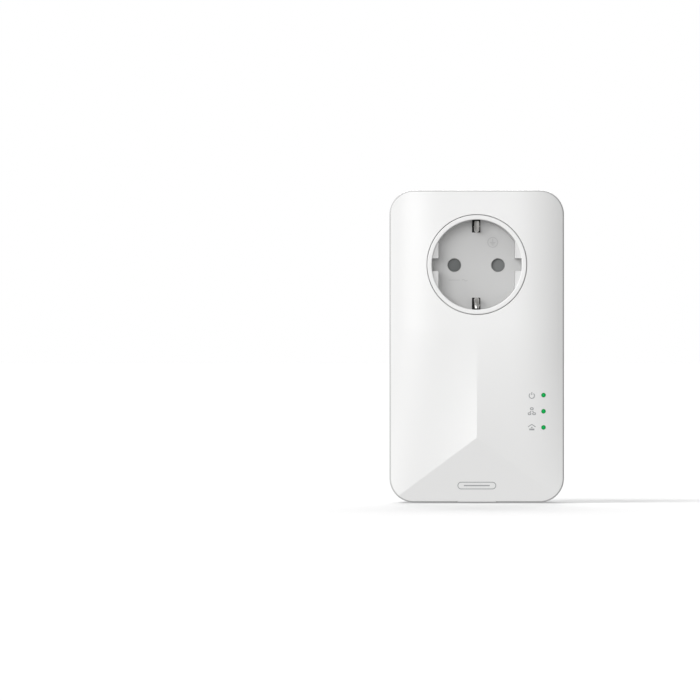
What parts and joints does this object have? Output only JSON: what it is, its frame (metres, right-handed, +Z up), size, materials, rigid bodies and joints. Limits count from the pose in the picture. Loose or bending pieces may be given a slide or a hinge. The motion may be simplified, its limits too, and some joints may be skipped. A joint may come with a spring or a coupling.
{
  "type": "powerline adapter",
  "caption": "White powerline network adapter with a mains plug behind, a pass-through socket in front, an Ethernet port below and status lights.",
  "frame": {"origin": "centre of the plug's face, on the axis that the plug and the socket share", "axes": "+Y out along the plug's pins, +Z up along the casing, the front looks along -Y, +X to the right seen from the front"},
  "size_m": [0.0756, 0.076, 0.1352],
  "materials": {
    "casing_white": "fine satin",
    "socket_white": "satin",
    "shutter_grey": "satin",
    "steel": "zinc plated",
    "nickel": "nickel plated",
    "brass": "plain",
    "carrier_cream": "matte",
    "board_green": "solder mask",
    "black_plastic": "matte",
    "jack_grey": "satin",
    "ferrite": "matte",
    "capacitor_yellow": "satin",
    "varistor_blue": "glossy epoxy",
    "coupler_red": "satin",
    "sink_aluminium": "anodised",
    "led_green": "lit lens",
    "guide_clear": "clear moulding, lit green",
    "label_grey": "matte film"
  },
  "bodies": {
    "root": {"front_cover": "casing_white", "rear_housing": "casing_white", "case_screw_1": "steel", "case_screw_2": "steel", "case_screw_3": "steel", "case_screw_4": "steel", "rating_label": "label_grey", "socket_insert": "socket_white", "shutter_spring": "steel", "contact_carrier": "carrier_cream", "carrier_screw_1": "steel", "carrier_screw_2": "steel", "line_contact": "brass", "neutral_contact": "brass", "line_link": "brass", "neutral_link": "brass", "earth_bracket": "steel", "plug_body": "socket_white", "line_pin": "nickel", "neutral_pin": "nickel", "plug_earth_strip_top": "nickel", "plug_earth_strip_bottom": "nickel", "plug_earth_socket": "nickel", "power_board": "board_green", "fuse": "black_plastic", "varistor": "varistor_blue", "x2_capacitor": "capacitor_yellow", "choke": "ferrite", "bridge_rectifier": "black_plastic", "bulk_capacitor_1": "black_plastic", "bulk_capacitor_2": "black_plastic", "transformer": "ferrite", "output_capacitor": "black_plastic", "signal_coupler": "coupler_red", "modem_board": "board_green", "modem_chip": "black_plastic", "heat_sink": "sink_aluminium", "memory_chip": "black_plastic", "shield_can": "steel", "crystal": "steel", "ethernet_transformer": "black_plastic", "board_connector": "black_plastic", "ethernet_jack": "jack_grey", "jack_contacts": "brass", "pair_switch": "black_plastic", "reset_switch": "black_plastic", "led_power": "led_green", "led_network": "led_green", "led_home": "led_green", "light_guide": "guide_clear"},
    "shutter": {"shutter": "shutter_grey"},
    "earth_clip_top": {"earth_clip_top": "nickel"},
    "earth_clip_bottom": {"earth_clip_bottom": "nickel"},
    "pair_button": {"pair_button": "casing_white", "pair_plunger": "black_plastic"},
    "reset_plunger": {"reset_plunger": "black_plastic"}
  },
  "joints": [
    {"name": "shutter_turn", "type": "hinge", "parent": "root", "child": "shutter", "pos_m": [0, -0.0364, 0], "axis": [0, 1, 0], "range_deg": [0, 42], "stiffness_Nm_per_rad": 0.004, "springref_deg": -17.19},
    {"name": "earth_clip_top_flex", "type": "hinge", "parent": "root", "child": "earth_clip_top", "pos_m": [0, -0.031, 0.01675], "axis": [-1, 0, 0], "range_deg": [0, 4], "stiffness_Nm_per_rad": 2, "springref_deg": -2.86},
    {"name": "earth_clip_bottom_flex", "type": "hinge", "parent": "root", "child": "earth_clip_bottom", "pos_m": [0, -0.031, -0.01675], "axis": [1, 0, 0], "range_deg": [0, 4], "stiffness_Nm_per_rad": 2, "springref_deg": -2.86},
    {"name": "pair_button_press", "type": "slide", "parent": "root", "child": "pair_button", "axis": [-1, 0, 0], "range_m": [0, 0.0006], "stiffness_N_per_m": 900, "springref_m": -0.0005},
    {"name": "reset_press", "type": "slide", "parent": "root", "child": "reset_plunger", "axis": [-1, 0, 0], "range_m": [0, 0.0003], "stiffness_N_per_m": 900, "springref_m": -0.0005}
  ]
}
